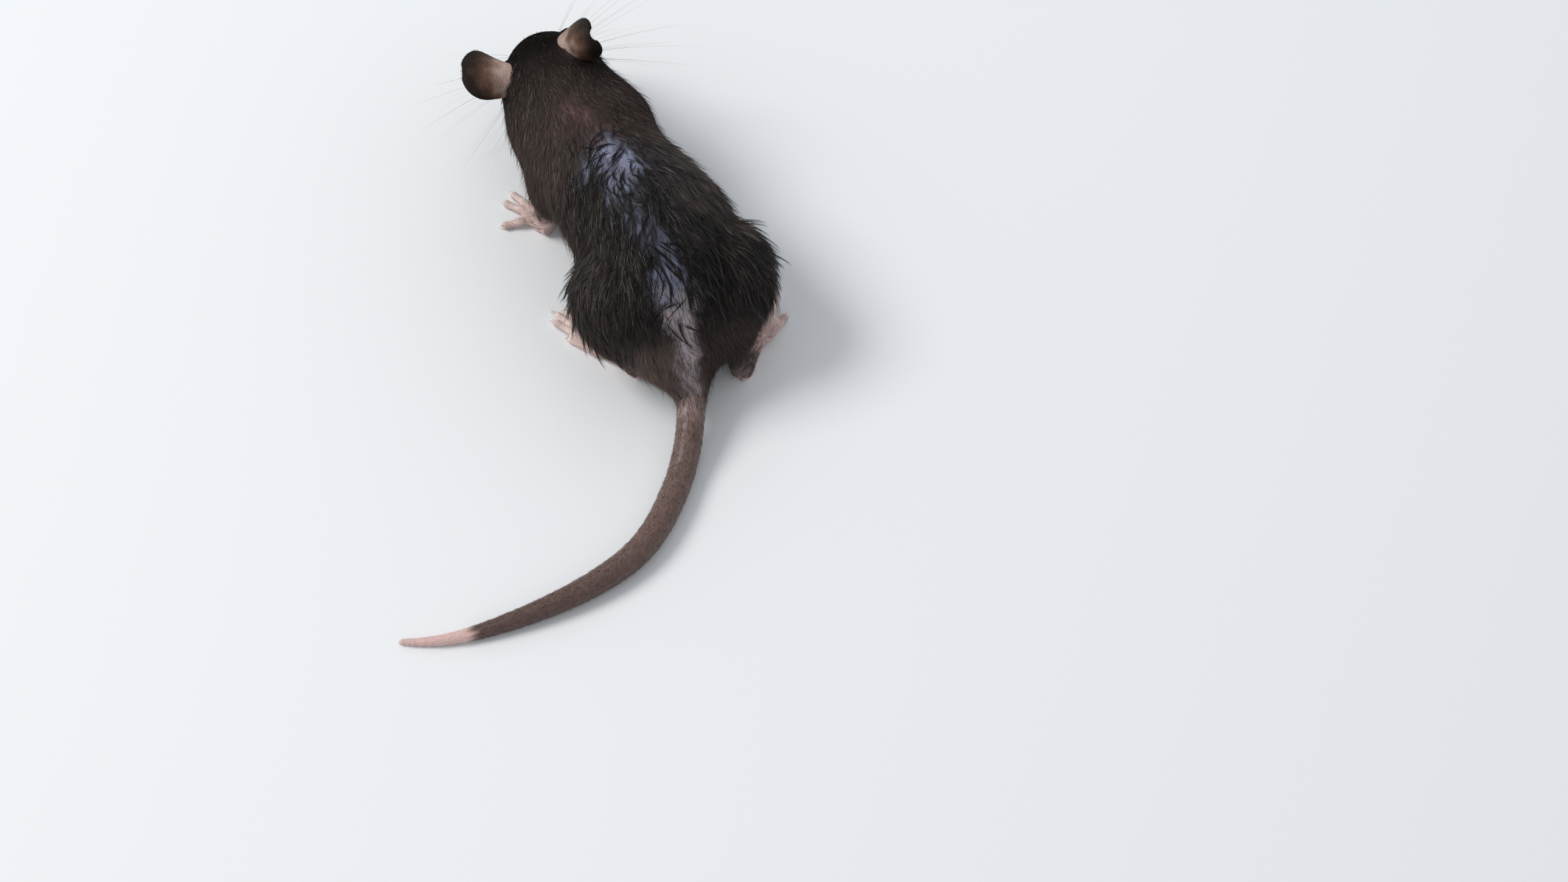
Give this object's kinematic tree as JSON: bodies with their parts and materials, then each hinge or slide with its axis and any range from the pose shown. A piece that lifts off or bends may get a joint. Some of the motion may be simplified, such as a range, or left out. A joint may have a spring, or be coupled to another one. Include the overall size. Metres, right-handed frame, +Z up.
{
  "type": "young rat",
  "caption": "Life-size young black rat standing with its head lowered and turned, feet flat, and its tail laid in a curve on the floor.",
  "frame": {"origin": "on the floor, under the middle of the bounding box", "axes": "+Z up, the animal faces -Y with its left side at +X, its tail curls round towards its left"},
  "size_m": [0.1134, 0.1404, 0.0443],
  "materials": {
    "trunk": "short black-brown fur, satin",
    "neck": "short black-brown fur, satin",
    "head": "short black-brown fur, satin",
    "foreleg_left": "short black-brown fur, satin",
    "hind_leg_left": "short black-brown fur, satin",
    "fore_foot_left": "bare pink skin, satin",
    "hind_foot_left": "bare pink skin, satin",
    "ear_left": "thin brown skin, satin",
    "eye_left": "wet black, glossy",
    "foreleg_right": "short black-brown fur, satin",
    "hind_leg_right": "short black-brown fur, satin",
    "fore_foot_right": "bare pink skin, satin",
    "hind_foot_right": "bare pink skin, satin",
    "ear_right": "thin brown skin, satin",
    "eye_right": "wet black, glossy",
    "tail_root": "ringed scaly skin, satin",
    "tail_middle": "ringed scaly skin, satin",
    "tail_outer": "ringed scaly skin, satin",
    "tail_tip": "ringed scaly skin, satin"
  },
  "bodies": {
    "root": {"trunk": "trunk", "neck": "neck", "head": "head", "foreleg_left": "foreleg_left", "hind_leg_left": "hind_leg_left", "fore_foot_left": "fore_foot_left", "hind_foot_left": "hind_foot_left", "ear_left": "ear_left", "eye_left": "eye_left", "foreleg_right": "foreleg_right", "hind_leg_right": "hind_leg_right", "fore_foot_right": "fore_foot_right", "hind_foot_right": "hind_foot_right", "ear_right": "ear_right", "eye_right": "eye_right", "tail_root": "tail_root", "tail_middle": "tail_middle", "tail_outer": "tail_outer", "tail_tip": "tail_tip"}
  },
  "joints": []
}
